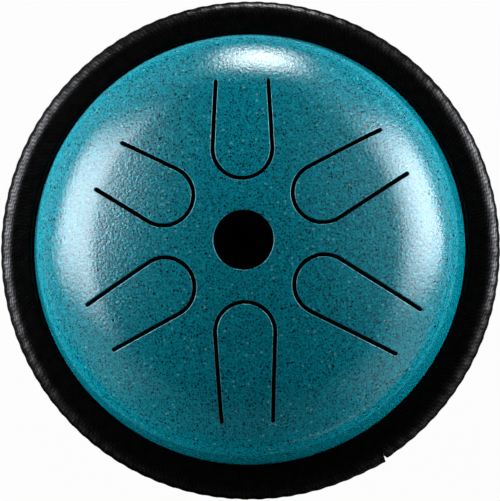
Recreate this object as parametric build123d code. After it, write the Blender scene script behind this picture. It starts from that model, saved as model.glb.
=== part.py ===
from build123d import *
from math import asin, cos, degrees, radians, sin, tan
import os

os.makedirs("parts", exist_ok=True)

# Steel tongue drum in millimetres. +Z is up, the origin is on the floor under the middle
# of the drum, and the tongue of the fifth note points along +Y.

# Pressed steel shells
SHEET = 1.0                # thickness of both shells
SHELL_RADIUS = 66.4        # corner of side wall and flange, before the bend is rounded
DRAFT = 11.0               # degrees that the side walls lean in from upright
FLANGE_WIDTH = 5.6         # from that corner to the edge of the flange
BEND_RADIUS = 1.5          # hollow of the bend between wall and flange
TOP_RISE = 33.0            # from the top flange's joint face to the crown
BOTTOM_DEPTH = 33.0        # from the base to the bottom flange's joint face
CROWN_RADIUS = 280.0       # gentle doming of the playing face
SHOULDER_WIDTH = 22.6      # from the corner in to the edge of the crown
SHOULDER_SLOPE = 33.3      # degrees of slope where the shoulder turns into the knuckle
KNUCKLE_RADIUS = 8.0       # tight curve between shoulder and side wall
BASE_KNUCKLE = 16.0        # curve between the flat base and the side wall
BOND = 0.2                 # sealant between the two flanges

# Sound hole and tongues
HOLE_RADIUS = 8.85
HOLE_BRIDGE = 8.7          # steel left between the sound hole and a slot
SLOT_WIDTH = 1.2
TONGUE_WIDTH = 17.54       # between the slot's centre lines at the round tip
TONGUE_TAPER = 2.8         # degrees that each side leans in towards the root
LONGEST_INSET = 11.8       # from the shell's corner to the root of the lowest note
NOTE_STEP = 1.8            # how much further in each higher note has its root
ROOT_GAP = 0.06            # hairline at the root, where the tongue bends
NOTE_ANGLES = (330, 270, 30, 210, 90, 150)  # lowest note first, in degrees from +X

# Edge strip on the rim
TRIM_HEIGHT = 12.0
TRIM_OVERHANG = 4.0        # rubber outside the flange's edge
TRIM_CLEARANCE = 0.2       # to the side wall and to the flange's edge
TRIM_LIP_ROUND = 1.2
TRIM_ROUND_WIDTH = 4.0     # how far in from the back the flat sides start to round off
TRIM_ROUND_DROP = 1.8      # how far down the back the rounding goes
TRIM_JOINT_ANGLE = -58.0   # where the two ends meet, in degrees from +X
TRIM_JOINT_GAP = 0.2       # between the two cut ends
TRIM_NOTCH_WIDTH = 1.0     # V that the joint opens to at the back
TRIM_NOTCH_DEPTH = 1.4

# Feet and their screws
FOOT_COUNT = 3
FOOT_INSET = 1.0           # from a foot to the edge of the flat base
FOOT_FIRST_ANGLE = 90.0
FOOT_HEIGHT = 6.0
FOOT_RADIUS = 7.0          # at the floor
FOOT_FLARE = 1.5           # how much wider the foot is at the base
FOOT_ROUND = 1.0
RECESS_RADIUS = 4.2
RECESS_DEPTH = 3.4
WASHER_RADIUS = 3.8
WASHER_THICKNESS = 0.6
SCREW_RADIUS = 1.5
SCREW_CLEARANCE = 0.2      # round the shank in the foot, the washer and the base
SCREW_HEAD_RADIUS = 2.8
SCREW_HEAD_HEIGHT = 2.0
SCREW_HEAD_ROUND = 0.9
DRIVE_LENGTH = 3.2         # cross slot in the screw head
DRIVE_WIDTH = 0.7
DRIVE_DEPTH = 1.1
NUT_ACROSS_FLATS = 5.5
NUT_HEIGHT = 2.4
THREAD_CLEARANCE = 0.05
SCREW_PAST_NUT = 1.0


def arc_run(radius, start, end):
    """Distance outwards along a section arc between two slopes in degrees."""
    return radius * (sin(radians(end)) - sin(radians(start)))


def arc_drop(radius, start, end):
    """Drop along a section arc between two slopes in degrees."""
    return radius * (cos(radians(start)) - cos(radians(end)))


# Levels and radii that follow from the sizes above
BASE_LEVEL = FOOT_HEIGHT
BOND_LEVEL = BASE_LEVEL + BOTTOM_DEPTH
TOP_LEVEL = BOND_LEVEL + BOND
SEAM_LEVEL = (BOND_LEVEL + TOP_LEVEL) / 2
FLANGE_RADIUS = SHELL_RADIUS + FLANGE_WIDTH
WALL_SLOPE = 90 - DRAFT
WALL_RUN = cos(radians(WALL_SLOPE))
WALL_DROP = sin(radians(WALL_SLOPE))
BEND_REACH = BEND_RADIUS * tan(radians(WALL_SLOPE / 2))
TRIM_RADIUS = FLANGE_RADIUS + TRIM_OVERHANG
TIP_RADIUS = TONGUE_WIDTH / 2
TIP_CENTRE = HOLE_RADIUS + HOLE_BRIDGE + SLOT_WIDTH / 2 + TIP_RADIUS
LONGEST_ROOT = SHELL_RADIUS - LONGEST_INSET

# The shoulder's radius and the top wall's length together make up the run and the drop
# that the crown and the knuckle leave
CROWN_REACH = SHELL_RADIUS - SHOULDER_WIDTH
CROWN_SLOPE = degrees(asin(CROWN_REACH / CROWN_RADIUS))
RUN_LEFT = SHOULDER_WIDTH - arc_run(KNUCKLE_RADIUS, SHOULDER_SLOPE, WALL_SLOPE)
DROP_LEFT = (
    TOP_RISE
    - SHEET
    - arc_drop(CROWN_RADIUS, 0, CROWN_SLOPE)
    - arc_drop(KNUCKLE_RADIUS, SHOULDER_SLOPE, WALL_SLOPE)
)
SHOULDER_RUN = arc_run(1, CROWN_SLOPE, SHOULDER_SLOPE)
SHOULDER_DROP = arc_drop(1, CROWN_SLOPE, SHOULDER_SLOPE)
SHARE = SHOULDER_RUN * WALL_DROP - SHOULDER_DROP * WALL_RUN
SHOULDER_RADIUS = (RUN_LEFT * WALL_DROP - DROP_LEFT * WALL_RUN) / SHARE
TOP_WALL = (SHOULDER_RUN * DROP_LEFT - SHOULDER_DROP * RUN_LEFT) / SHARE

# The bottom wall and the flat of the base are what the base's knuckle leaves
BOTTOM_WALL = (BOTTOM_DEPTH - SHEET - arc_drop(BASE_KNUCKLE, 0, WALL_SLOPE)) / WALL_DROP
BASE_RADIUS = SHELL_RADIUS - BOTTOM_WALL * WALL_RUN - arc_run(BASE_KNUCKLE, 0, WALL_SLOPE)
FOOT_CIRCLE = BASE_RADIUS - FOOT_INSET - FOOT_RADIUS - FOOT_FLARE


def top_skin(depth):
    """The top shell's section line, at a depth below its outer face."""
    crown = JernArc((0, TOP_RISE - depth), (1, 0), CROWN_RADIUS - depth, -CROWN_SLOPE)
    shoulder = JernArc(crown @ 1, crown % 1, SHOULDER_RADIUS - depth, CROWN_SLOPE - SHOULDER_SLOPE)
    knuckle = JernArc(shoulder @ 1, shoulder % 1, KNUCKLE_RADIUS - depth, SHOULDER_SLOPE - WALL_SLOPE)
    wall = PolarLine(knuckle @ 1, TOP_WALL - BEND_REACH, direction=knuckle % 1)
    bend = JernArc(wall @ 1, wall % 1, BEND_RADIUS + depth, WALL_SLOPE)
    flange = Line(bend @ 1, (FLANGE_RADIUS, SHEET - depth))
    return [crown, shoulder, knuckle, wall, bend, flange]


def bottom_skin(depth):
    """The bottom shell's section line, at a depth inside its outer face."""
    flat = Line((0, depth), (BASE_RADIUS, depth))
    knuckle = JernArc(flat @ 1, flat % 1, BASE_KNUCKLE - depth, WALL_SLOPE)
    wall = PolarLine(knuckle @ 1, BOTTOM_WALL - BEND_REACH, direction=knuckle % 1)
    bend = JernArc(wall @ 1, wall % 1, BEND_RADIUS + depth, -WALL_SLOPE)
    flange = Line(bend @ 1, (FLANGE_RADIUS, BOTTOM_DEPTH - SHEET + depth))
    return [flat, knuckle, wall, bend, flange]


def pressing(skin):
    """One shell of even thickness: the band between its two skins, turned round the axis."""
    outer = skin(0)
    inner = skin(SHEET)
    ends = [Line(outer[0] @ 0, inner[0] @ 0), Line(outer[-1] @ 1, inner[-1] @ 1)]
    section = Plane.XZ * make_face(outer + inner + ends)
    return revolve(section, Axis.Z)


def slot_line(root):
    """A slot's centre line in plan: two legs leaning in to the root, joined round the tip.
    The tongue lies along +X with its root at that distance from the drum's axis."""
    taper = radians(TONGUE_TAPER)
    knee_x = TIP_CENTRE + TIP_RADIUS * sin(taper)
    knee_y = TIP_RADIUS * cos(taper)
    root_y = knee_y - (root - knee_x) * tan(taper)
    leg_in = Line((root, -root_y), (knee_x, -knee_y))
    tip = ThreePointArc((knee_x, -knee_y), (TIP_CENTRE - TIP_RADIUS, 0), (knee_x, knee_y))
    leg_out = Line((knee_x, knee_y), (root, root_y))
    return Wire([leg_in, tip, leg_out])


def tongue_plan(root):
    """Plan of one tongue, and of the window in the shell that it leaves."""
    line = slot_line(root)
    slot = make_face(line.offset_2d(SLOT_WIDTH / 2).edges())
    inside = make_face(line.edges() + [Line(line @ 1, line @ 0)])
    root_width = abs((line @ 1).Y - (line @ 0).Y)
    hairline = Pos(root + ROOT_GAP / 2, 0) * Rectangle(ROOT_GAP, root_width)
    return inside - slot, inside + slot + hairline


def note_root(note):
    return LONGEST_ROOT - NOTE_STEP * note


def punched(plan, angle):
    """A plan turned to its place and carried up through the top shell, clear of its crown."""
    return Rot(0, 0, angle) * extrude(plan, TOP_RISE + SHEET)


def top_and_tongues():
    """The top pressing, parted into the shell with its windows and the tongues in them."""
    blank = pressing(top_skin)
    shell = blank - punched(Circle(HOLE_RADIUS), 0)
    tongues = []
    for note, angle in enumerate(NOTE_ANGLES):
        tongue, window = tongue_plan(note_root(note))
        tongues.append(Pos(0, 0, TOP_LEVEL) * (blank & punched(tongue, angle)))
        shell -= punched(window, angle)
    return Pos(0, 0, TOP_LEVEL) * shell, tongues


def foot_places():
    """Centre of each foot on the floor."""
    return PolarLocations(FOOT_CIRCLE, FOOT_COUNT, FOOT_FIRST_ANGLE)


def bottom():
    shell = Pos(0, 0, BASE_LEVEL) * pressing(bottom_skin)
    screw_hole = Pos(0, 0, BASE_LEVEL) * extrude(Circle(SCREW_RADIUS + SCREW_CLEARANCE), SHEET)
    for place in foot_places():
        shell -= place * screw_hole
    return shell


def flange_bond():
    ring = Circle(FLANGE_RADIUS) - Circle(SHELL_RADIUS + BEND_REACH)
    return Pos(0, 0, BOND_LEVEL) * extrude(ring, BOND)


def trim_joint(inner_radius):
    """The narrow gap between the strip's two ends, opening to a V at the back."""
    end = TRIM_RADIUS + TRIM_CLEARANCE
    side = [
        (inner_radius - TRIM_CLEARANCE, TRIM_JOINT_GAP / 2),
        (TRIM_RADIUS - TRIM_NOTCH_DEPTH, TRIM_JOINT_GAP / 2),
        (TRIM_RADIUS, TRIM_NOTCH_WIDTH / 2),
        (end, TRIM_NOTCH_WIDTH / 2),
    ]
    other_side = [(radius, -offset) for radius, offset in reversed(side)]
    gap = make_face(Polyline(*side, *other_side, close=True))
    return Rot(0, 0, TRIM_JOINT_ANGLE) * extrude(gap, TRIM_HEIGHT, both=True)


def rim_trim():
    """Rubber strip with a rounded back, slit to grip both flanges, cut where its ends meet."""
    half_height = TRIM_HEIGHT / 2
    round_start = TRIM_RADIUS - TRIM_ROUND_WIDTH
    round_level = half_height - TRIM_ROUND_DROP
    grip_half = SHEET + BOND / 2
    grip_depth = FLANGE_RADIUS + TRIM_CLEARANCE
    bend_top = grip_half + BEND_REACH * WALL_DROP
    lean = WALL_RUN / WALL_DROP
    lip_radius = SHELL_RADIUS + TRIM_CLEARANCE - (half_height - grip_half) * lean
    bend_radius = SHELL_RADIUS + TRIM_CLEARANCE - (bend_top - grip_half) * lean
    upper = [
        (round_start, half_height),
        (lip_radius, half_height),
        (bend_radius, bend_top),
        (SHELL_RADIUS + BEND_REACH + TRIM_CLEARANCE, grip_half),
        (grip_depth, grip_half),
    ]
    lower = [(radius, -height) for radius, height in reversed(upper)]
    inside = Polyline(*upper, *lower)
    reach = (TRIM_ROUND_WIDTH, TRIM_ROUND_DROP)
    top_round = EllipticalCenterArc((round_start, round_level), *reach, start_angle=0, arc_size=90)
    bottom_round = EllipticalCenterArc((round_start, -round_level), *reach, start_angle=270, arc_size=90)
    back = Line(bottom_round @ 1, top_round @ 0)
    section = make_face(inside.edges() + [bottom_round, back, top_round])
    section = fillet(section.vertices().group_by(Axis.X)[0], TRIM_LIP_ROUND)
    strip = revolve(Plane.XZ * section, Axis.Z)
    return Pos(0, 0, SEAM_LEVEL) * (strip - trim_joint(lip_radius))


def foot():
    """Rubber foot, wider at the base, with a recess for the screw head and washer."""
    profile = [
        (0, 0),
        (FOOT_RADIUS, 0),
        (FOOT_RADIUS + FOOT_FLARE, FOOT_HEIGHT),
        (0, FOOT_HEIGHT),
    ]
    section = make_face(Polyline(*profile, close=True))
    section = fillet(section.vertices().sort_by(Axis.Y)[:2].sort_by(Axis.X)[-1:], FOOT_ROUND)
    body = revolve(Plane.XZ * section, Axis.Z)
    body -= extrude(Circle(RECESS_RADIUS), RECESS_DEPTH)
    body -= extrude(Circle(SCREW_RADIUS + SCREW_CLEARANCE), FOOT_HEIGHT)
    return body


def washer():
    ring = Circle(WASHER_RADIUS) - Circle(SCREW_RADIUS + SCREW_CLEARANCE)
    return Pos(0, 0, RECESS_DEPTH - WASHER_THICKNESS) * extrude(ring, WASHER_THICKNESS)


def screw():
    """Pan-head screw with a cross slot, head down in the recess."""
    seat = RECESS_DEPTH - WASHER_THICKNESS
    head = Pos(0, 0, seat - SCREW_HEAD_HEIGHT) * extrude(Circle(SCREW_HEAD_RADIUS), SCREW_HEAD_HEIGHT)
    head = fillet(head.edges().group_by(Axis.Z)[0], SCREW_HEAD_ROUND)
    drive = Rectangle(DRIVE_LENGTH, DRIVE_WIDTH) + Rectangle(DRIVE_WIDTH, DRIVE_LENGTH)
    head -= Pos(0, 0, seat - SCREW_HEAD_HEIGHT) * extrude(drive, DRIVE_DEPTH)
    tip_level = BASE_LEVEL + SHEET + NUT_HEIGHT + SCREW_PAST_NUT
    shank = Pos(0, 0, seat) * extrude(Circle(SCREW_RADIUS), tip_level - seat)
    return head + shank


def nut():
    flats = RegularPolygon(NUT_ACROSS_FLATS / 2, 6, major_radius=False)
    ring = flats - Circle(SCREW_RADIUS + THREAD_CLEARANCE)
    return Pos(0, 0, BASE_LEVEL + SHEET) * extrude(ring, NUT_HEIGHT)


def at_each_foot(piece):
    """One copy of a fastener at each foot, as separate solids."""
    return Compound(children=[place * piece for place in foot_places()])


top_shell, tongues = top_and_tongues()
nodes = {"top_shell": top_shell}
for note, tongue in enumerate(tongues):
    nodes[f"tongue_{note + 1}"] = tongue
nodes["bottom_shell"] = bottom()
nodes["flange_bond"] = flange_bond()
nodes["rim_trim"] = rim_trim()
for index, place in enumerate(foot_places()):
    nodes[f"foot_{index + 1}"] = place * foot()
nodes["foot_screws"] = at_each_foot(screw())
nodes["foot_washers"] = at_each_foot(washer())
nodes["foot_nuts"] = at_each_foot(nut())

for name, piece in nodes.items():
    export_step(piece, f"parts/{name}.step")
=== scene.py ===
from math import asin, cos, radians, sin, tan
import bmesh
import bpy
import numpy as np
from mathutils import Matrix, Vector


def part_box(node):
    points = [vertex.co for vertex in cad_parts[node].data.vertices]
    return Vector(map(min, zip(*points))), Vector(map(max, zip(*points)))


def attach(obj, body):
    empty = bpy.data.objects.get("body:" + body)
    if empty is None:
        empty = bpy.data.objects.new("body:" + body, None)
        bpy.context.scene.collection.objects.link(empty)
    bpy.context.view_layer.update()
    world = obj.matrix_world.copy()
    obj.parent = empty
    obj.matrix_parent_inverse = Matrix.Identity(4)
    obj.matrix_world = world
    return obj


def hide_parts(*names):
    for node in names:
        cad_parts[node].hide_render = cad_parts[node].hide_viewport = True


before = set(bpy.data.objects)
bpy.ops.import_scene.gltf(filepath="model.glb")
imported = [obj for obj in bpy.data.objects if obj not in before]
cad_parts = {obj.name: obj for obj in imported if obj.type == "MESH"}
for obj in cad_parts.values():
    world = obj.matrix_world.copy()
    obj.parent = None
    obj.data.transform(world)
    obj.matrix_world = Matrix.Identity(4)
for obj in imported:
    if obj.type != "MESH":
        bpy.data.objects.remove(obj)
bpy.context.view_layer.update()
mm = 0.001
scene = bpy.context.scene
scene.view_settings.view_transform = "Standard"


# helpers for colours, nodes and meshes

weldGap = 0.0005            # mm within which two points are one
sharpFrom = radians(40)     # edges that turn by more than this stay sharp
noiseLow, noiseHigh = 0.35, 0.65        # span that most of a noise lies in
coarseDetail, fineDetail = 2.0, 3.0     # octaves of a patchy and of a grainy noise


def fromHex(code):  # sRGB hex to linear RGBA
    part = np.array([int(code[i:i + 2], 16) for i in (1, 3, 5)]) / 255
    linear = np.where(part <= 0.04045, part / 12.92, ((part + 0.055) / 1.055) ** 2.4)
    return (*linear.tolist(), 1.0)


def addNode(tree, kind, values=None, links=None, **settings):
    # one node with its own settings, and its plain values and links by socket
    node = tree.nodes.new(kind)
    for key, value in settings.items():
        setattr(node, key, value)
    for socket, value in (values or {}).items():
        node.inputs[socket].default_value = value
    for socket, source in (links or {}).items():
        tree.links.new(source, node.inputs[socket])
    return node


def newMaterial(name):
    # a material with an empty node tree
    material = bpy.data.materials.new(name)
    material.use_nodes = True
    material.node_tree.nodes.clear()
    return material, material.node_tree


def gridFaces(rows, columns, closed=False):
    # quads of a grid of points stored row by row, with the last row joined to the first if closed
    first = np.arange(rows if closed else rows - 1)[:, None]
    column = np.arange(columns - 1)[None, :]
    here = first * columns + column
    there = ((first + 1) % rows) * columns + column
    return np.stack([here, there, there + 1, here + 1], axis=-1).reshape(-1, 4)


def buildPiece(name, patches, materials, body, node, capEnds=False, weave=None):
    # welds patches, each (points of shape rows x columns x 3 in mm, closed, material index), into
    # one mesh; capEnds fills the loops left open; weave is a value per point for the material
    points, faces, indices, start = [], [], [], 0
    for grid, closed, index in patches:
        rows, columns = grid.shape[:2]
        quads = gridFaces(rows, columns, closed) + start
        points.append(grid.reshape(-1, 3) * mm)
        faces.append(quads)
        indices.append(np.full(len(quads), index))
        start += rows * columns
    mesh = bpy.data.meshes.new(name)
    mesh.from_pydata(np.concatenate(points).tolist(), [], np.concatenate(faces).tolist())
    mesh.polygons.foreach_set("material_index", np.concatenate(indices).astype(np.int32))
    if weave is not None:
        threads = mesh.attributes.new("weave", "FLOAT", "POINT")
        threads.data.foreach_set("value", weave.astype(np.float32).ravel())
    work = bmesh.new()
    work.from_mesh(mesh)
    bmesh.ops.remove_doubles(work, verts=work.verts, dist=weldGap * mm)
    if capEnds:
        bmesh.ops.holes_fill(work, edges=[e for e in work.edges if e.is_boundary], sides=0)
    bmesh.ops.recalc_face_normals(work, faces=work.faces)
    openEdges = sum(1 for e in work.edges if not e.is_manifold)
    work.to_mesh(mesh)
    work.free()
    mesh.polygons.foreach_set("use_smooth", np.ones(len(mesh.polygons), dtype=bool))
    mesh.set_sharp_from_angle(angle=sharpFrom)
    for material in materials:
        mesh.materials.append(material)
    piece = bpy.data.objects.new(name, mesh)
    scene.collection.objects.link(piece)
    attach(piece, body)
    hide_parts(node)
    mesh.calc_loop_triangles()
    print("made", name, len(mesh.loop_triangles), "triangles,", openEdges, "open edges")
    return piece


def trace(start, heading, moves):
    # a line in a plane from a start and a heading: each move is (length, 0, steps) for a straight
    # run or (radius, turn in degrees, steps) for an arc; gives the points and their headings
    points, headings = [np.array([start], float)], [np.array([radians(heading)])]
    for size, turn, steps in moves:
        share = np.linspace(0, 1, steps + 1)[1:]
        h0 = headings[-1][-1]
        h = h0 + radians(turn) * share
        if turn:
            signed = size * np.sign(turn)
            step = signed * np.stack([np.sin(h) - sin(h0), cos(h0) - np.cos(h)], axis=-1)
        else:
            step = size * np.outer(share, [cos(h0), sin(h0)])
        points.append(points[-1][-1] + step)
        headings.append(h)
    return np.concatenate(points), np.concatenate(headings)


def revolve(line, angles):
    # a section line of (radius, height) turned to each angle round the drum's axis
    radius, height = line[:, 0], line[:, 1]
    across = radius[None, :] * np.cos(angles)[:, None]
    along = radius[None, :] * np.sin(angles)[:, None]
    return np.stack([across, along, np.broadcast_to(height, across.shape)], axis=-1)


# materials

powderCoat = {
    "teal": "#00b0c6", "deepTeal": "#006e81", "roughness": 0.45, "metallic": 0.03, "specular": 0.0,
    "coatWeight": 1.0, "coatRoughness": 0.15, "coatIor": 1.7,
    "mottle": 0.55,         # mm across a patch of lighter or darker powder
    "peel": 0.8,            # mm across an orange-peel dimple
    "peelHeight": 0.07,     # mm
    # flecks: colour, mm between them, radius and softness in cells, share of cells that have one
    "flecks": [
        ("#012c35", 0.95, 0.26, 0.20, 0.75),
        ("#013843", 0.60, 0.26, 0.20, 0.60),
        ("#000a0d", 1.90, 0.16, 0.08, 0.65),
        ("#5fbcc4", 2.00, 0.17, 0.12, 0.35),
        ("#93aca8", 3.40, 0.075, 0.05, 0.35),
        ("#4c4440", 4.60, 0.08, 0.04, 0.30),
        ("#0a7fc4", 6.00, 0.06, 0.03, 0.40),
    ],
}


def makePowderCoat(name, look):
    # baked powder coat with mixed-in flecks: an even gloss over fine orange peel, with black,
    # pale and rust-coloured grains in the teal
    material, tree = newMaterial(name)
    place = addNode(tree, "ShaderNodeTexCoord").outputs["Object"]
    mottle = addNode(
        tree, "ShaderNodeTexNoise", {"Scale": 1 / (look["mottle"] * mm), "Detail": coarseDetail},
        {"Vector": place},
    )
    blend = addNode(
        tree, "ShaderNodeMapRange", {"From Min": noiseLow, "From Max": noiseHigh},
        {"Value": mottle.outputs[0]},
    )
    colour = addNode(
        tree, "ShaderNodeMix", {6: fromHex(look["deepTeal"]), 7: fromHex(look["teal"])},
        {0: blend.outputs[0]}, data_type="RGBA",
    ).outputs[2]
    for tint, spacing, radius, soft, share in look["flecks"]:
        cells = addNode(tree, "ShaderNodeTexVoronoi", {"Scale": 1 / (spacing * mm)}, {"Vector": place})
        chance = addNode(tree, "ShaderNodeSeparateColor", None, {0: cells.outputs["Color"]})
        spot = addNode(
            tree, "ShaderNodeMapRange",
            {"From Min": radius - soft / 2, "From Max": radius + soft / 2, "To Min": 1.0, "To Max": 0.0},
            {"Value": cells.outputs["Distance"]},
        )
        present = addNode(tree, "ShaderNodeMath", {1: share}, {0: chance.outputs[0]}, operation="LESS_THAN")
        mask = addNode(
            tree, "ShaderNodeMath", None, {0: spot.outputs[0], 1: present.outputs[0]},
            operation="MULTIPLY",
        )
        colour = addNode(
            tree, "ShaderNodeMix", {7: fromHex(tint)}, {0: mask.outputs[0], 6: colour}, data_type="RGBA",
        ).outputs[2]
    peel = addNode(
        tree, "ShaderNodeTexNoise", {"Scale": 1 / (look["peel"] * mm), "Detail": fineDetail},
        {"Vector": place},
    )
    bump = addNode(
        tree, "ShaderNodeBump", {"Strength": 1.0, "Distance": look["peelHeight"] * mm},
        {"Height": peel.outputs[0]},
    )
    shader = addNode(
        tree, "ShaderNodeBsdfPrincipled",
        {
            "Roughness": look["roughness"], "Metallic": look["metallic"],
            "Specular IOR Level": look["specular"], "Coat Weight": look["coatWeight"],
            "Coat Roughness": look["coatRoughness"], "Coat IOR": look["coatIor"],
        },
        {"Base Color": colour, "Normal": bump.outputs[0], "Coat Normal": bump.outputs[0]},
    )
    addNode(tree, "ShaderNodeOutputMaterial", None, {"Surface": shader.outputs[0]})
    return material


stripLook = {
    "black": "#010101", "grey": "#040404", "grain": 0.5, "grainHeight": 0.005, "roughness": 0.24, "ior": 1.5,
    "dullTo": 71.5, "shinyFrom": 75.0,          # mm from the drum's axis
    "dullGloss": 0.3, "shinyGloss": 1.0,        # specular level, 0.5 being what the ior gives
    "grooveGloss": 0.2,                         # share of it that is left between the threads
    "patch": 2.4, "patchGloss": 0.45,           # mm across a rubbed patch, and the share left between patches
}


def makeStripRubber(name, look):
    # rubber with a weave pressed into it: dull and dusty on top beside the wall, and shiny where it
    # is stretched round the edge; the gloss rises with the distance from the drum's axis and with
    # the height of the threads, so that each thread glints between dark grooves, more in rubbed patches
    material, tree = newMaterial(name)
    place = addNode(tree, "ShaderNodeTexCoord").outputs["Object"]
    noise = addNode(
        tree, "ShaderNodeTexNoise", {"Scale": 1 / (look["grain"] * mm), "Detail": fineDetail},
        {"Vector": place},
    )
    colour = addNode(
        tree, "ShaderNodeMix", {6: fromHex(look["black"]), 7: fromHex(look["grey"])}, {0: noise.outputs[0]},
        data_type="RGBA",
    )
    bump = addNode(
        tree, "ShaderNodeBump", {"Strength": 1.0, "Distance": look["grainHeight"] * mm},
        {"Height": noise.outputs[0]},
    )
    flat = addNode(tree, "ShaderNodeVectorMath", {1: (1, 1, 0)}, {0: place}, operation="MULTIPLY")
    fromAxis = addNode(tree, "ShaderNodeVectorMath", None, {0: flat.outputs[0]}, operation="LENGTH")
    gloss = addNode(
        tree, "ShaderNodeMapRange",
        {
            "From Min": look["dullTo"] * mm, "From Max": look["shinyFrom"] * mm,
            "To Min": look["dullGloss"], "To Max": look["shinyGloss"],
        },
        {"Value": fromAxis.outputs["Value"]},
    )
    thread = addNode(tree, "ShaderNodeAttribute", attribute_name="weave")
    worn = addNode(
        tree, "ShaderNodeMapRange", {"To Min": look["grooveGloss"]}, {"Value": thread.outputs["Fac"]},
    )
    gloss = addNode(
        tree, "ShaderNodeMath", None, {0: gloss.outputs[0], 1: worn.outputs[0]}, operation="MULTIPLY",
    )
    patches = addNode(tree, "ShaderNodeTexNoise", {"Scale": 1 / (look["patch"] * mm)}, {"Vector": place})
    rubbed = addNode(
        tree, "ShaderNodeMapRange",
        {"From Min": noiseLow, "From Max": noiseHigh, "To Min": look["patchGloss"]},
        {"Value": patches.outputs[0]},
    )
    gloss = addNode(
        tree, "ShaderNodeMath", None, {0: gloss.outputs[0], 1: rubbed.outputs[0]}, operation="MULTIPLY",
    )
    shader = addNode(
        tree, "ShaderNodeBsdfPrincipled", {"Roughness": look["roughness"], "IOR": look["ior"]},
        {"Base Color": colour.outputs[2], "Normal": bump.outputs[0], "Specular IOR Level": gloss.outputs[0]},
    )
    addNode(tree, "ShaderNodeOutputMaterial", None, {"Surface": shader.outputs[0]})
    return material


plainLooks = {
    # name: colours that a fine noise blends, mm of that noise, bump height in mm, roughness, metallic, ior
    # painted shade: the inside faces are near black, so that the drum's unlit inside looks dark through the
    # slots and the hole
    "near-black inside as painted shade": ("#050607", "#08090a", 0.8, 0.01, 0.9, 0.0, 1.45),
    "moulded black rubber": ("#121213", "#1b1b1c", 0.6, 0.02, 0.62, 0.0, 1.5),
    "bright zinc plate": ("#b4b7bb", "#a2a6ac", 1.2, 0.004, 0.28, 1.0, 1.5),
    "cured grey sealant": ("#57585a", "#4b4c4e", 1.5, 0.03, 0.55, 0.0, 1.45),
}


def makePlain(name):
    # one even substance: a fine noise shifts its colour a little and gives it a slight grain,
    # so that the near-black inside, which is painted shade for the drum's unlit inside, looks dusty, rubber
    # dull, zinc faintly cloudy and sealant skinned over
    light, dark, grain, height, roughness, metallic, ior = plainLooks[name]
    material, tree = newMaterial(name)
    place = addNode(tree, "ShaderNodeTexCoord").outputs["Object"]
    noise = addNode(
        tree, "ShaderNodeTexNoise", {"Scale": 1 / (grain * mm), "Detail": fineDetail}, {"Vector": place},
    )
    colour = addNode(
        tree, "ShaderNodeMix", {6: fromHex(light), 7: fromHex(dark)}, {0: noise.outputs[0]}, data_type="RGBA",
    )
    bump = addNode(
        tree, "ShaderNodeBump", {"Strength": 1.0, "Distance": height * mm}, {"Height": noise.outputs[0]},
    )
    shader = addNode(
        tree, "ShaderNodeBsdfPrincipled", {"Roughness": roughness, "Metallic": metallic, "IOR": ior},
        {"Base Color": colour.outputs[2], "Normal": bump.outputs[0]},
    )
    addNode(tree, "ShaderNodeOutputMaterial", None, {"Surface": shader.outputs[0]})
    return material


speckled = makePowderCoat("speckled teal powder coat", powderCoat)
stripRubber = makeStripRubber("embossed black rubber", stripLook)
paintedShadeInside, footRubber, zinc, sealant = [makePlain(name) for name in plainLooks]
print("materials made")


# section of the top shell

topShell = {                # mm and degrees, as the pressing is drawn
    "sheet": 1.0, "corner": 66.4, "draft": 11.0, "bend": 1.5, "rise": 33.0,
    "crown": 280.0, "shoulderWidth": 22.6, "shoulderSlope": 33.3, "knuckle": 8.0,
    "join": 58.5,           # radius where the patches round the tongues end and the turned rim starts
}
sheet = topShell["sheet"]
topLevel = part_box("top_shell")[0].z / mm
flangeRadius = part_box("top_shell")[1].x / mm
crownTop = topLevel + topShell["rise"]
wallSlope = 90 - topShell["draft"]
bendReach = topShell["bend"] * tan(radians(wallSlope / 2))
crownReach = topShell["corner"] - topShell["shoulderWidth"]
crownSlope = asin(crownReach / topShell["crown"])
slopes = [crownSlope, radians(topShell["shoulderSlope"]), radians(wallSlope)]
knuckleRun = topShell["knuckle"] * (sin(slopes[2]) - sin(slopes[1]))
knuckleDrop = topShell["knuckle"] * (cos(slopes[1]) - cos(slopes[2]))
crownDrop = topShell["crown"] * (1 - cos(slopes[0]))
# the shoulder's radius and the wall's length make up the run and the drop that are left
shoulderRadius, wallLength = np.linalg.solve(
    [[sin(slopes[1]) - sin(slopes[0]), cos(slopes[2])], [cos(slopes[0]) - cos(slopes[1]), sin(slopes[2])]],
    [topShell["shoulderWidth"] - knuckleRun, topShell["rise"] - sheet - crownDrop - knuckleDrop],
)
shoulderCentre = (topShell["crown"] - shoulderRadius) * sin(crownSlope)


def skinHeight(radius, depth):
    # height of the dome at a distance from the axis: one arc for the crown, then a tighter one
    # tangent to it for the shoulder, both shrunk by the depth below the outer face
    crown = topShell["crown"] - depth
    shoulder = shoulderRadius - depth
    edge = crown * sin(crownSlope)
    crownMiddle = crownTop - topShell["crown"]
    onCrown = crownMiddle + np.sqrt(crown ** 2 - np.minimum(radius, edge) ** 2)
    shoulderMiddle = crownMiddle + (topShell["crown"] - shoulderRadius) * cos(crownSlope)
    out = np.maximum(radius, edge) - shoulderCentre
    onShoulder = shoulderMiddle + np.sqrt(shoulder ** 2 - out ** 2)
    return np.where(radius < edge, onCrown, onShoulder)


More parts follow.
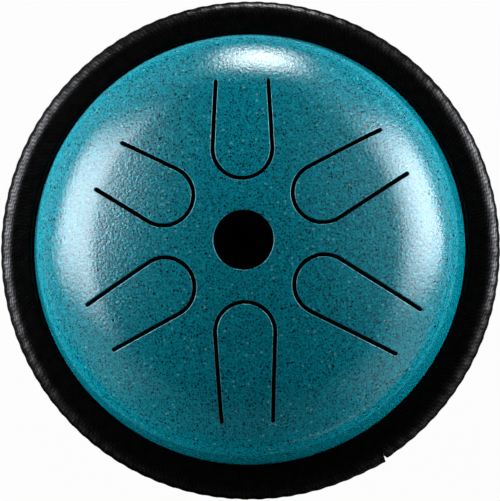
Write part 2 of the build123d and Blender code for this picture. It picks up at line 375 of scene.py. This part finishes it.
def rimLine(depth):
    # from the join outwards: rest of the shoulder, knuckle, leaning wall, bend and flange
    shoulder = shoulderRadius - depth
    joinSlope = asin((topShell["join"] - shoulderCentre) / shoulder)
    start = (topShell["join"], float(skinHeight(topShell["join"], depth)))
    bendEnd = topShell["corner"] + bendReach
    moves = [
        (shoulder, np.degrees(joinSlope) - topShell["shoulderSlope"], 3),
        (topShell["knuckle"] - depth, topShell["shoulderSlope"] - wallSlope, 14),
        (wallLength - bendReach, 0, 10),
        (topShell["bend"] + depth, wallSlope, 8),
        (flangeRadius - bendEnd, 0, 3),
    ]
    return trace(start, -np.degrees(joinSlope), moves)[0]


def onDome(plan, depth=0.0, drop=0.0):
    # plan points lifted onto the dome, less a drop
    height = skinHeight(np.hypot(plan[..., 0], plan[..., 1]), depth) - drop
    return np.concatenate([plan, height[..., None]], axis=-1)


def turned(plan, degreesTurned):
    # plan points turned about the drum's axis
    a = radians(degreesTurned)
    return plan @ np.array([[cos(a), sin(a)], [-sin(a), cos(a)]])


# tongues and the slots round them

tongues = {                 # mm and degrees
    "holeRadius": 8.85, "holeBridge": 8.7, "slot": 1.2, "width": 17.54, "taper": 2.8,
    "roots": {330: 54.6, 270: 52.8, 30: 51.0, 210: 49.2, 90: 47.4, 150: 45.6},  # angle: distance of the root
    "order": [330, 270, 30, 210, 90, 150],     # lowest note first
    "edgeRound": 0.16,      # worn and painted edge of slots and hole
    "arcSteps": 30, "legSteps": 22, "capSteps": 20, "rootSteps": 12, "holeSteps": 10,
    "legEase": 1.4,         # power that crowds the points towards the end of a leg
    "legInset": 4.0,        # from the join in to the end of the points that face a leg
    "rootSpread": 5.2, "fanEase": 2.2,      # angle to each side of a root, and the crowding towards it
    "coreShare": 0.4,       # of the tip's radius, from its centre to the start of the middle line
}
halfSector = radians(30)
tipRadius = tongues["width"] / 2
tipCentre = tongues["holeRadius"] + tongues["holeBridge"] + tongues["slot"] / 2 + tipRadius
halfSlot = tongues["slot"] / 2
taper = radians(tongues["taper"])
edgeRound = tongues["edgeRound"]
roundSteps = np.radians([90, 67.5, 45, 22.5, 0])
# rows of points from an edge to the far side of its patch, fine and coarse
edgeShares = np.array([0, 0.012, 0.04, 0.11, 0.22, 0.36, 0.52, 0.68, 0.84, 0.96, 1])
underShares = np.array([0, 0.1, 0.3, 0.6, 1])


def mirrored(half, flip):
    # the half from the tip to the root, then the other half back to the tip
    return np.concatenate([half, half[-2:0:-1] * flip])


def legLine(root, offset, endY):
    # one side of a tongue or slot in plan: round the tip on an arc, then along the leaning leg to
    # the root, at an offset from the slot's centre line; gives points and outward directions
    psi = np.linspace(np.pi, np.pi / 2 - taper, tongues["arcSteps"] + 1)
    outArc = np.stack([np.cos(psi), np.sin(psi)], axis=-1)
    arc = np.array([tipCentre, 0]) + (tipRadius + offset) * outArc
    share = 1 - (1 - np.linspace(0, 1, tongues["legSteps"] + 1)[1:]) ** tongues["legEase"]
    leg = arc[-1] + share[:, None] * (np.array([root + max(offset, 0) * sin(taper), endY]) - arc[-1])
    outLeg = np.broadcast_to(outArc[-1], leg.shape)
    return np.concatenate([arc, leg]), np.concatenate([outArc, outLeg])


def rootHalfWidth(root):
    # half the distance between the two ends of the slot's centre line
    kneeX, kneeY = tipCentre + tipRadius * sin(taper), tipRadius * cos(taper)
    return kneeY - (root - kneeX) * tan(taper)


def edgeRows(edge, toVoid, rounding):
    # rows from the inner skin up the cut wall, round the edge and onto the outer skin
    start = edge - toVoid * rounding
    wall = onDome(edge, sheet)[:, None]
    lip = [
        onDome(start + toVoid * rounding * sin(b), 0, rounding[:, 0] * (1 - cos(b)))[:, None]
        for b in roundSteps
    ]
    return np.concatenate([wall, *lip], axis=1), start


def sectorEdge(holeRadius):
    # half of a sector's outline: sound hole, straight side at 30 degrees, outer arc at the join
    kneeRadius = tipCentre / cos(halfSector)
    legEnd = topShell["join"] - tongues["legInset"]
    hole = np.linspace(0, halfSector, tongues["holeSteps"] + 1)
    sideRadius = np.concatenate([
        np.linspace(holeRadius, kneeRadius, tongues["arcSteps"] - tongues["holeSteps"] + 1)[1:],
        np.linspace(kneeRadius, legEnd, tongues["legSteps"] + 1)[1:],
        [topShell["join"]],
    ])
    rootAngle = radians(tongues["rootSpread"])
    fan = np.linspace(1, 0, tongues["capSteps"])[1:] ** tongues["fanEase"]
    outer = np.concatenate([
        rootAngle + (halfSector - rootAngle) * fan,
        np.linspace(rootAngle, 0, tongues["rootSteps"] + 1)[1:],
    ])
    angle = np.concatenate([hole, np.full(len(sideRadius), halfSector), outer])
    radius = np.concatenate([
        np.full(len(hole), holeRadius), sideRadius, np.full(len(outer), topShell["join"]),
    ])
    return np.stack([radius * np.cos(angle), radius * np.sin(angle)], axis=-1), angle, radius


def windowEdge(root):
    # half of a tongue's window: outer edge of the slot, its round end, then the root line
    endY = rootHalfWidth(root)
    side, out = legLine(root, halfSlot, endY + halfSlot * cos(taper))
    theta = np.linspace(np.pi / 2 - taper, -np.pi / 2, tongues["capSteps"] + 1)[1:]
    outCap = np.stack([np.cos(theta), np.sin(theta)], axis=-1)
    cap = np.array([root, endY]) + halfSlot * outCap
    across = np.linspace(endY - halfSlot - edgeRound, 0, tongues["rootSteps"] + 1)[1:]
    line = np.stack([np.full(len(across), root), across], axis=-1)
    edge = np.concatenate([side, cap, line])
    toVoid = -np.concatenate([out, outCap, np.zeros_like(line)])
    rounding = np.full((len(edge), 1), edgeRound)
    rounding[-len(line):] = 0
    return edge, toVoid, rounding


flip = np.array([1, -1])
patches = []
for angle, root in tongues["roots"].items():
    edge, toVoid, rounding = windowEdge(root)
    edge, toVoid = turned(mirrored(edge, flip), angle), turned(mirrored(toVoid, flip), angle)
    rounding = mirrored(rounding, 1)
    skirt, start = edgeRows(edge, toVoid, rounding)
    outline = turned(mirrored(sectorEdge(tongues["holeRadius"] + edgeRound)[0], flip), angle)
    share = edgeShares[1:, None]
    skin = onDome(start[:, None] + share * (outline - start)[:, None])
    patches.append((np.concatenate([skirt, skin], axis=1), True, 0))
    inner = turned(mirrored(sectorEdge(tongues["holeRadius"])[0], flip), angle)
    under = onDome(edge[:, None] + underShares[:, None] * (inner - edge)[:, None], sheet)
    patches.append((under, True, 1))

# the turned rim and the hole's lip take their angles from the sectors, so that their points meet
halfAngle, halfRadius = sectorEdge(tongues["holeRadius"])[1:]
outerAngles = halfAngle[np.isclose(halfRadius, topShell["join"])]
fullOuter = np.concatenate([-outerAngles, outerAngles[-2::-1]])
fullHole = np.linspace(-halfSector, halfSector, 2 * tongues["holeSteps"] + 1)
centres = np.radians(sorted(tongues["roots"]))
rimAngles = (centres[:, None] + fullOuter[None, :-1]).ravel()
holeAngles = (centres[:, None] + fullHole[None, :-1]).ravel()
outerRim = rimLine(0)
innerRim = rimLine(sheet)[::-1]
patches.append((revolve(outerRim, rimAngles), True, 0))
patches.append((revolve(np.stack([outerRim[-1], innerRim[0]]), rimAngles), True, 0))
patches.append((revolve(innerRim, rimAngles), True, 1))
lipRadius = tongues["holeRadius"] + edgeRound * (1 - np.sin(roundSteps))
lipHeight = skinHeight(lipRadius, 0) - edgeRound * (1 - np.cos(roundSteps))
holeLine = np.concatenate([
    [[tongues["holeRadius"], float(skinHeight(tongues["holeRadius"], sheet))]],
    np.stack([lipRadius, lipHeight], axis=-1),
])
patches.append((revolve(holeLine, holeAngles), True, 0))
buildPiece("drumTop", patches, [speckled, paintedShadeInside], "drum", "top_shell")

for number, angle in enumerate(tongues["order"], start=1):
    # a tongue: rows from its cut edge in to its middle line, for both halves
    root = tongues["roots"][angle]
    half, out = legLine(root, -halfSlot, rootHalfWidth(root) - halfSlot)
    out = np.where(half[:, :1] > tipCentre, np.array([0.0, 1.0]), out)
    coreStart = tipCentre - tongues["coreShare"] * tipRadius
    middle = np.linspace(coreStart, half[tongues["arcSteps"], 0], tongues["arcSteps"] + 1)
    middle = np.concatenate([middle, half[tongues["arcSteps"] + 1:, 0]])
    core = np.stack([middle, np.zeros_like(middle)], axis=-1)
    patches = []
    for hand in (np.array([1, 1]), flip):
        edge, toVoid, axis = turned(half * hand, angle), turned(out * hand, angle), turned(core, angle)
        skirt, start = edgeRows(edge, toVoid, np.full((len(edge), 1), edgeRound))
        skin = onDome(start[:, None] + edgeShares[1:, None] * (axis - start)[:, None])
        under = onDome(edge[:, None] + edgeShares[:, None] * (axis - edge)[:, None], sheet)
        patches.append((np.concatenate([skirt, skin], axis=1), False, 0))
        patches.append((under, False, 1))
    buildPiece(f"tongue{number}", patches, [speckled, paintedShadeInside], f"tongue_{number}", f"tongue_{number}",
               capEnds=True)


# lower bowl

bowl = {                    # mm and degrees
    "knuckle": 16.0,        # curve round the base
    "screwHole": 1.7, "footAngles": (90, 210, 330),
    "steps": 240, "sideSteps": 10,          # points round the bowl and along a side of a third of the base
    "shares": np.array([0, 0.08, 0.3, 1]),  # rows of points from a screw hole out to the edge of its third
}
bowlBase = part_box("bottom_shell")[0].z / mm
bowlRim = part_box("bottom_shell")[1].z / mm
footCircle = (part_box("foot_1")[0].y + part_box("foot_1")[1].y) / 2 / mm
knuckleRise = bowl["knuckle"] * (1 - cos(radians(wallSlope)))
bowlWall = (bowlRim - bowlBase - sheet - knuckleRise) / sin(radians(wallSlope))
baseRadius = (
    topShell["corner"] - bowlWall * cos(radians(wallSlope)) - bowl["knuckle"] * sin(radians(wallSlope))
)


def bowlLine(depth):
    # from the edge of the flat base outwards: knuckle, leaning wall, bend and flange
    moves = [
        (bowl["knuckle"] - depth, wallSlope, 14),
        (bowlWall - bendReach, 0, 6),
        (topShell["bend"] + depth, -wallSlope, 6),
        (flangeRadius - topShell["corner"] - bendReach, 0, 2),
    ]
    return trace((baseRadius, bowlBase + depth), 0, moves)[0]


def baseThird(angle, level):
    # a third of the flat base round a screw hole: each point of its outline is joined to the point
    # where the line from there to the hole's middle meets the hole
    arc = radians(angle) + np.linspace(-np.pi / 3, np.pi / 3, bowl["steps"] // 3 + 1)
    rim = baseRadius * np.stack([np.cos(arc), np.sin(arc)], axis=-1)
    side = np.linspace(0, 1, bowl["sideSteps"] + 1)[:-1, None]
    loop = np.concatenate([side * rim[0], rim, (side * rim[-1])[:0:-1]])
    centre = footCircle * np.array([cos(radians(angle)), sin(radians(angle))])
    toward = loop - centre
    hole = centre + bowl["screwHole"] * toward / np.hypot(*toward.T)[:, None]
    plan = hole[:, None] + bowl["shares"][:, None] * (loop - hole)[:, None]
    return np.concatenate([plan, np.full((*plan.shape[:2], 1), level)], axis=-1)


bowlAngles = np.linspace(0, 2 * np.pi, bowl["steps"], endpoint=False)
outerBowl, innerBowl = bowlLine(0), bowlLine(sheet)[::-1]
patches = [
    (revolve(outerBowl, bowlAngles), True, 0),
    (revolve(np.stack([outerBowl[-1], innerBowl[0]]), bowlAngles), True, 0),
    (revolve(innerBowl, bowlAngles), True, 1),
]
for angle in bowl["footAngles"]:
    under, over = baseThird(angle, bowlBase), baseThird(angle, bowlBase + sheet)
    patches.append((np.concatenate([over[:, :1], under], axis=1), True, 0))
    patches.append((over, True, 1))
buildPiece("drumBowl", patches, [speckled, paintedShadeInside], "drum", "bottom_shell")


# edge strip on the rim

strip = {                   # mm and degrees
    "half": 6.0, "lipRound": 1.2, "clearance": 0.2, "bond": 0.2,
    "roundWidth": 4.0, "roundDrop": 1.8,        # quarter ellipse from the flat top to the back
    "yarns": 420,           # raised threads of the embossed twill round the rim, four to a repeat
    "yarnAcross": 0.66,     # their spacing across the strip
    "samples": 2,           # points to each thread, both ways
    "underside": 14,        # points across the plain lower face
    "ellipseSteps": 120,    # points that the quarter ellipse is first drawn with
    "threadEnds": 0.45,     # height of a thread at the ends of its run, as a share of the middle
    "emboss": 0.03, "edgeEmboss": 0.06,         # height of the pattern on top and round the edge
    "ripple": 0.095,        # swell of the back with each repeat, either way
    "jointAngle": -58.0, "jointGap": 0.003, "notchWidth": 1.0, "notchDepth": 1.2,
    "proudEnd": 0.55, "proudReach": 5.0,        # the end that stands out a little, and how fast it settles
    "proudRest": 0.25, "proudRestReach": 40.0,
    "proudInset": 3.0, "proudBlend": 4.0,       # from the flange's edge in to its start, and its run-in
}


def stripOutline():
    # clockwise section: up the wall side, round the lip, over the flat top, down a quarter ellipse to
    # the back, the same mirrored below, and up the slit that grips the flanges; gives points, outward
    # directions, distance from the lip and where the pattern is
    gripHalf = sheet + strip["bond"] / 2
    bendTop = gripHalf + bendReach * sin(radians(wallSlope))
    lean = tan(radians(topShell["draft"]))
    wallSide = topShell["corner"] + strip["clearance"]
    lip = wallSide - (strip["half"] - gripHalf) * lean
    bendRadius = wallSide - (bendTop - gripHalf) * lean
    turn = 90 + topShell["draft"]
    tangent = strip["lipRound"] * tan(radians(turn / 2))
    rise = (strip["half"] - bendTop) / cos(radians(topShell["draft"])) - tangent
    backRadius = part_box("rim_trim")[1].x / mm
    roundStart, roundLevel = backRadius - strip["roundWidth"], strip["half"] - strip["roundDrop"]
    moves = [(rise, 0, 1), (strip["lipRound"], -turn, 16), (roundStart - lip - tangent, 0, 8)]
    upper = trace((bendRadius, bendTop), turn, moves)[0]
    phi = np.linspace(0, np.pi / 2, strip["ellipseSteps"])[1:]
    shoulder = np.stack([
        roundStart + strip["roundWidth"] * np.sin(phi), roundLevel + strip["roundDrop"] * np.cos(phi),
    ], axis=-1)
    upper = np.concatenate([upper, shoulder])
    whole = np.concatenate([upper, upper[::-1] * [1, -1]])
    along = np.concatenate([[0], np.cumsum(np.hypot(*np.diff(whole, axis=0).T))])
    fine = np.arange(rise, along[-1] / 2 + roundLevel, strip["yarnAcross"] / strip["samples"])
    length = np.concatenate([[0], fine, np.linspace(fine[-1], along[-1], strip["underside"])[1:]])
    points = np.stack([np.interp(length, along, whole[:, i]) for i in (0, 1)], axis=-1)
    step = np.gradient(points, length, axis=0)
    normal = np.stack([-step[:, 1], step[:, 0]], axis=-1) / np.hypot(*step.T)[:, None]
    ramp = np.clip((np.minimum(length, fine[-1] - length + 2 * rise) - rise) / strip["lipRound"] - 1, 0, 1)
    gripDepth = flangeRadius + strip["clearance"]
    bendFoot = topShell["corner"] + bendReach + strip["clearance"]
    slit = np.array([
        [bendFoot, -gripHalf], [gripDepth, -gripHalf], [gripDepth, gripHalf], [bendFoot, gripHalf],
    ])
    outline = np.concatenate([points, slit, points[:1]])
    pad = np.zeros(len(slit) + 1)
    normal = np.concatenate([normal, np.zeros((len(pad), 2))])
    return outline, normal, np.concatenate([length - rise, pad]), np.concatenate([ramp, pad])


def twill(u, v):
    # two-over-two twill: threads along u pass over two threads across and under two, one step on in
    # each row; a thread on top is round across its width and highest in the middle of its run
    k = (np.floor(u) + np.floor(v)) % 4
    fu, fv = u % 1, v % 1
    alongRun = np.where(k < 1, fu, 1 + fu)
    acrossRun = np.where(k < 3, fv, 1 + fv)
    ends = strip["threadEnds"]
    along = (ends + (1 - ends) * np.sin(np.pi * alongRun / 2)) * (1 - np.abs(2 * fv - 1) ** 2)
    across = (ends + (1 - ends) * np.sin(np.pi * acrossRun / 2)) * (1 - np.abs(2 * fu - 1) ** 2)
    return np.where(k < 2, along, across)


outline, normal, length, ramp = stripOutline()
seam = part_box("flange_bond")
seamLevel = (seam[0].z + seam[1].z) / 2 / mm
share = np.linspace(0, 1, strip["yarns"] * strip["samples"] + 1)[:, None]
u = np.arange(len(share))[:, None] / strip["samples"]
v = np.round(length[None, :] / strip["yarnAcross"] * strip["samples"]) / strip["samples"]
swell = strip["ripple"] * np.sin(np.pi / 2 * u) * np.maximum(normal[:, 0], 0)
outerRadius = outline[:, 0].max()
edgeShare = np.clip(1 + (outline[:, 0] - outerRadius) / strip["roundWidth"], 0, 1)
emboss = strip["emboss"] + (strip["edgeEmboss"] - strip["emboss"]) * edgeShare
weave = twill(u, v) * ramp
relief = emboss * (weave - 0.5 * ramp) + swell * ramp
fromEnd = (1 - share) * 2 * np.pi * outerRadius
proud = strip["proudEnd"] * np.exp(-fromEnd / strip["proudReach"])
proud = proud + strip["proudRest"] * np.exp(-fromEnd / strip["proudRestReach"])
outward = np.clip((outline[:, 0] - flangeRadius + strip["proudInset"]) / strip["proudBlend"], 0, 1)
radius = outline[None, :, 0] + relief * normal[:, 0] + proud * outward * np.maximum(normal[:, 0], 0)
height = seamLevel + outline[None, :, 1] + relief * normal[:, 1]
gapShare = np.clip(1 - (outerRadius - outline[:, 0]) / strip["notchDepth"], 0, 1)
gap = (strip["jointGap"] + (strip["notchWidth"] - strip["jointGap"]) * gapShare) / 2 / outline[:, 0]
turn = radians(strip["jointAngle"]) + gap + share * (2 * np.pi - 2 * gap)
patches = [(np.stack([radius * np.cos(turn), radius * np.sin(turn), height], axis=-1), False, 0)]
buildPiece("rimStrip", patches, [stripRubber], "drum", "rim_trim", capEnds=True, weave=weave)


# feet, fasteners and sealant keep their CAD shapes

cadFinishes = {
    "foot_1": footRubber, "foot_2": footRubber, "foot_3": footRubber,
    "foot_screws": zinc, "foot_washers": zinc, "foot_nuts": zinc, "flange_bond": sealant,
}
for nodeName, material in cadFinishes.items():
    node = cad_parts[nodeName]
    node.data.materials.clear()
    node.data.materials.append(material)
print("finishes set on", len(cadFinishes), "CAD nodes")


# floor, lamps and camera

stage = {
    "floorSize": 6.0, "floorColour": "#d8d8d8", "worldLevel": 0.005,
    "whiteShare": 0.97,     # of the board's own white that the camera sees
    "mirrorLevel": 0.6, "shadeFrom": 0.0, "shadeTo": -140.0,     # mm: painted shade, as its mirror image fades to the front
    "nearReach": 88.0, "farReach": 122.0, "farShare": 0.3,       # mm: and away from the drum
    "contactReach": 18.0, "contactShade": 0.35,     # mm, and share of the white left in the painted contact shadow where the drum stands
    "lampAim": 0.8,         # share of the drum's height that the lamps point at
}
floorMesh = bpy.data.meshes.new("floor")
reach = stage["floorSize"] / 2
floorMesh.from_pydata(
    [(-reach, -reach, 0), (reach, -reach, 0), (reach, reach, 0), (-reach, reach, 0)], [], [(0, 1, 2, 3)],
)
floor = bpy.data.objects.new("floor", floorMesh)
scene.collection.objects.link(floor)
# painted white board: mostly its own white to the camera, with a painted contact shadow where the drum closes
# it in, and clear from below, so that the feet can be seen
paper, tree = newMaterial("matte white board")
lightPath = addNode(tree, "ShaderNodeLightPath").outputs
seen = addNode(
    tree, "ShaderNodeMath", None, {0: lightPath["Is Camera Ray"], 1: lightPath["Is Transmission Ray"]},
    operation="MAXIMUM",
)
place = addNode(tree, "ShaderNodeTexCoord").outputs["Object"]
forward = addNode(tree, "ShaderNodeSeparateXYZ", None, {0: place})
# painted shade: the board's glow that reflections see is full near the drum and fades to the front and away
# from it
shade = addNode(
    tree, "ShaderNodeMapRange",
    {"From Min": stage["shadeTo"] * mm, "From Max": stage["shadeFrom"] * mm, "To Max": stage["mirrorLevel"]},
    {"Value": forward.outputs["Y"]},
)
fromAxis = addNode(tree, "ShaderNodeVectorMath", None, {0: place}, operation="LENGTH")
fade = addNode(
    tree, "ShaderNodeMapRange",
    {
        "From Min": stage["nearReach"] * mm, "From Max": stage["farReach"] * mm,
        "To Min": 1.0, "To Max": stage["farShare"],
    },
    {"Value": fromAxis.outputs["Value"]},
)
shade = addNode(tree, "ShaderNodeMath", None, {0: shade.outputs[0], 1: fade.outputs[0]}, operation="MULTIPLY")
# painted contact shadow: the white that the camera sees is darkened where the drum closes in the board
paintedShadowOcclusion = addNode(tree, "ShaderNodeAmbientOcclusion", {"Distance": stage["contactReach"] * mm})
contact = addNode(
    tree, "ShaderNodeMapRange", {"To Min": stage["contactShade"]}, {"Value": paintedShadowOcclusion.outputs["AO"]},
)
bright = addNode(
    tree, "ShaderNodeMath", None, {0: seen.outputs[0], 1: contact.outputs[0]}, operation="MULTIPLY",
)
level = addNode(
    tree, "ShaderNodeMath", None, {0: lightPath["Is Glossy Ray"], 1: shade.outputs[0], 2: bright.outputs[0]},
    operation="MULTIPLY_ADD",
)
portion = addNode(
    tree, "ShaderNodeMath", {1: stage["whiteShare"]}, {0: seen.outputs[0], 2: lightPath["Is Glossy Ray"]},
    operation="MULTIPLY_ADD",
)
lit = addNode(tree, "ShaderNodeBsdfDiffuse", {"Color": fromHex(stage["floorColour"])})
white = addNode(tree, "ShaderNodeEmission", {"Color": (1, 1, 1, 1)}, {"Strength": level.outputs[0]})
mixed = addNode(
    tree, "ShaderNodeMixShader", None, {0: portion.outputs[0], 1: lit.outputs[0], 2: white.outputs[0]},
)
behind = addNode(tree, "ShaderNodeNewGeometry").outputs["Backfacing"]
through = addNode(
    tree, "ShaderNodeMath", None, {0: behind, 1: lightPath["Is Camera Ray"]}, operation="MULTIPLY",
)
clear = addNode(tree, "ShaderNodeBsdfTransparent")
board = addNode(
    tree, "ShaderNodeMixShader", None, {0: through.outputs[0], 1: mixed.outputs[0], 2: clear.outputs[0]},
)
addNode(tree, "ShaderNodeOutputMaterial", None, {"Surface": board.outputs[0]})
floorMesh.materials.append(paper)

world = bpy.data.worlds.new("studio")
scene.world = world
world.use_nodes = True
tree = world.node_tree
tree.nodes.clear()
# white to the camera, and a faint even light on the object
lightPath = addNode(tree, "ShaderNodeLightPath").outputs
seen = addNode(
    tree, "ShaderNodeMath", None, {0: lightPath["Is Camera Ray"], 1: lightPath["Is Transmission Ray"]},
    operation="MAXIMUM",
)
level = addNode(tree, "ShaderNodeMath", {1: stage["worldLevel"]}, {0: seen.outputs[0]}, operation="MAXIMUM")
air = addNode(tree, "ShaderNodeBackground", {"Color": (1, 1, 1, 1)}, {"Strength": level.outputs[0]})
addNode(tree, "ShaderNodeOutputWorld", None, {"Surface": air.outputs[0]})

lamps = {
    # azimuth from +X, elevation, distance in m, width and height in m, power in W, colour, and the
    # shares of the width and of the height over which it fades out to both sides and to its top,
    # and whether it gives gloss or matte light
    "leftBox": (162, 45.5, 0.8, 0.80, 0.50, 11.3, "#f6f8ff", 0.38, 0.14, "gloss"),
    "rightBox": (18, 45.5, 0.8, 0.86, 0.54, 16.5, "#f6f8ff", 0.38, 0.62, "gloss"),
    "farBox": (88, 30, 0.8, 0.36, 0.27, 5.1, "#ffffff", 0.4, 0.4, "gloss"),
    "backRight": (52, 44, 0.8, 0.60, 0.60, 0.4, "#ffffff", 0.3, 0.5, "gloss"),
    "backLeft": (126, 33, 0.8, 0.60, 0.60, 0.35, "#ffffff", 0.3, 0.5, "gloss"),
    "leftFront": (208, 42, 0.8, 0.60, 0.60, 0.5, "#ffffff", 0.3, 0.5, "gloss"),
    "rightFront": (330, 40, 0.8, 0.70, 0.60, 0.8, "#ffffff", 0.3, 0.5, "gloss"),
    "frontBox": (270, 48, 0.8, 1.20, 0.60, 0.14, "#ffffff", 0.3, 0.5, "gloss"),
    "rightHigh": (20, 66, 0.8, 0.80, 0.45, 0.3, "#ffffff", 0.3, 0.5, "gloss"),
    "rightWall": (20, 12, 1.0, 2.00, 0.40, 1.6, "#ffffff", 0.3, 0.3, "gloss"),
    "leftWall": (165, 12, 1.0, 2.00, 0.40, 1.25, "#ffffff", 0.3, 0.3, "gloss"),
    "frontWall": (312, 12, 1.0, 1.60, 0.40, 0.6, "#ffffff", 0.3, 0.3, "gloss"),
    "leftFill": (165, 4, 1.0, 1.40, 0.14, 26.0, "#ffffff", 0.3, 0.2, "matte"),
    "rightFill": (20, 4, 1.0, 1.40, 0.14, 22.5, "#ffffff", 0.3, 0.2, "matte"),
    "leftFrontFill": (225, 18, 1.0, 0.80, 0.30, 3.2, "#ffffff", 0.3, 0.2, "matte"),
    "rightFrontFill": (315, 18, 1.0, 0.80, 0.30, 3.4, "#ffffff", 0.3, 0.2, "matte"),
    "backFill": (88, 16, 1.0, 1.20, 0.40, 8.0, "#ffffff", 0.3, 0.3, "matte"),
}
middle = Vector((0, 0, crownTop * mm * stage["lampAim"]))
for name, setting in lamps.items():
    azimuth, elevation, distance, width, tall, power, colour, sideFade, topFade, kind = setting
    lamp = bpy.data.lights.new(name, "AREA")
    lamp.shape, lamp.size, lamp.size_y = "RECTANGLE", width, tall
    lamp.energy, lamp.color = power, fromHex(colour)[:3]
    lamp.use_nodes = True
    tree = lamp.node_tree
    tree.nodes.clear()
    # the place on the lamp runs from 0 to 1 across it and up it
    spot = addNode(tree, "ShaderNodeNewGeometry").outputs["Parametric"]
    spot = addNode(tree, "ShaderNodeSeparateXYZ", None, {0: spot}).outputs
    aside = addNode(tree, "ShaderNodeMath", {1: 0.5}, {0: spot["X"]}, operation="SUBTRACT")
    aside = addNode(tree, "ShaderNodeMath", None, {0: aside.outputs[0]}, operation="ABSOLUTE")
    sideways = addNode(
        tree, "ShaderNodeMapRange", {"From Min": 0.5, "From Max": 0.5 - sideFade},
        {"Value": aside.outputs[0]}, interpolation_type="SMOOTHSTEP",
    )
    upwards = addNode(
        tree, "ShaderNodeMapRange", {"From Min": 1.0, "From Max": 1 - topFade}, {"Value": spot["Y"]},
    )
    level = addNode(
        tree, "ShaderNodeMath", None, {0: sideways.outputs[0], 1: upwards.outputs[0]},
        operation="MULTIPLY",
    )
    glow = addNode(tree, "ShaderNodeEmission", None, {"Strength": level.outputs[0]})
    addNode(tree, "ShaderNodeOutputLight", None, {"Surface": glow.outputs[0]})
    holder = bpy.data.objects.new(name, lamp)
    scene.collection.objects.link(holder)
    a, e = radians(azimuth), radians(elevation)
    away = Vector((cos(a) * cos(e), sin(a) * cos(e), sin(e)))
    holder.location = middle + away * distance
    holder.rotation_euler = away.to_track_quat("Z", "Y").to_euler()
    holder.visible_camera = False
    holder.visible_diffuse, holder.visible_glossy = kind == "matte", kind == "gloss"

view = {
    "azimuth": 32.0, "elevation": 84.2, "distance": 0.66, "roll": 0.85,
    "aim": (0.40, -0.91, 45.0), "focalPixels": 2174.0, "imageWidth": 500.0,
    "sensor": 36.0, "clipStart": 0.01,      # mm and m
}
a, e, r = radians(view["azimuth"]), radians(view["elevation"]), radians(view["roll"])
aim = Vector(view["aim"]) * mm
back = Vector((sin(a) * cos(e), -cos(a) * cos(e), sin(e)))
upward = Vector((sin(r), cos(r), 0))
right = upward.cross(back).normalized()
over = back.cross(right)
camera = bpy.data.cameras.new("camera")
camera.sensor_fit, camera.sensor_width = "HORIZONTAL", view["sensor"]
camera.lens = view["focalPixels"] / view["imageWidth"] * camera.sensor_width
camera.clip_start = view["clipStart"]
eye = bpy.data.objects.new("camera", camera)
scene.collection.objects.link(eye)
facing = Matrix((right, over, back)).transposed().to_4x4()
eye.matrix_world = Matrix.Translation(aim + back * view["distance"]) @ facing
scene.camera = eye
print("stage, lamps and camera set")
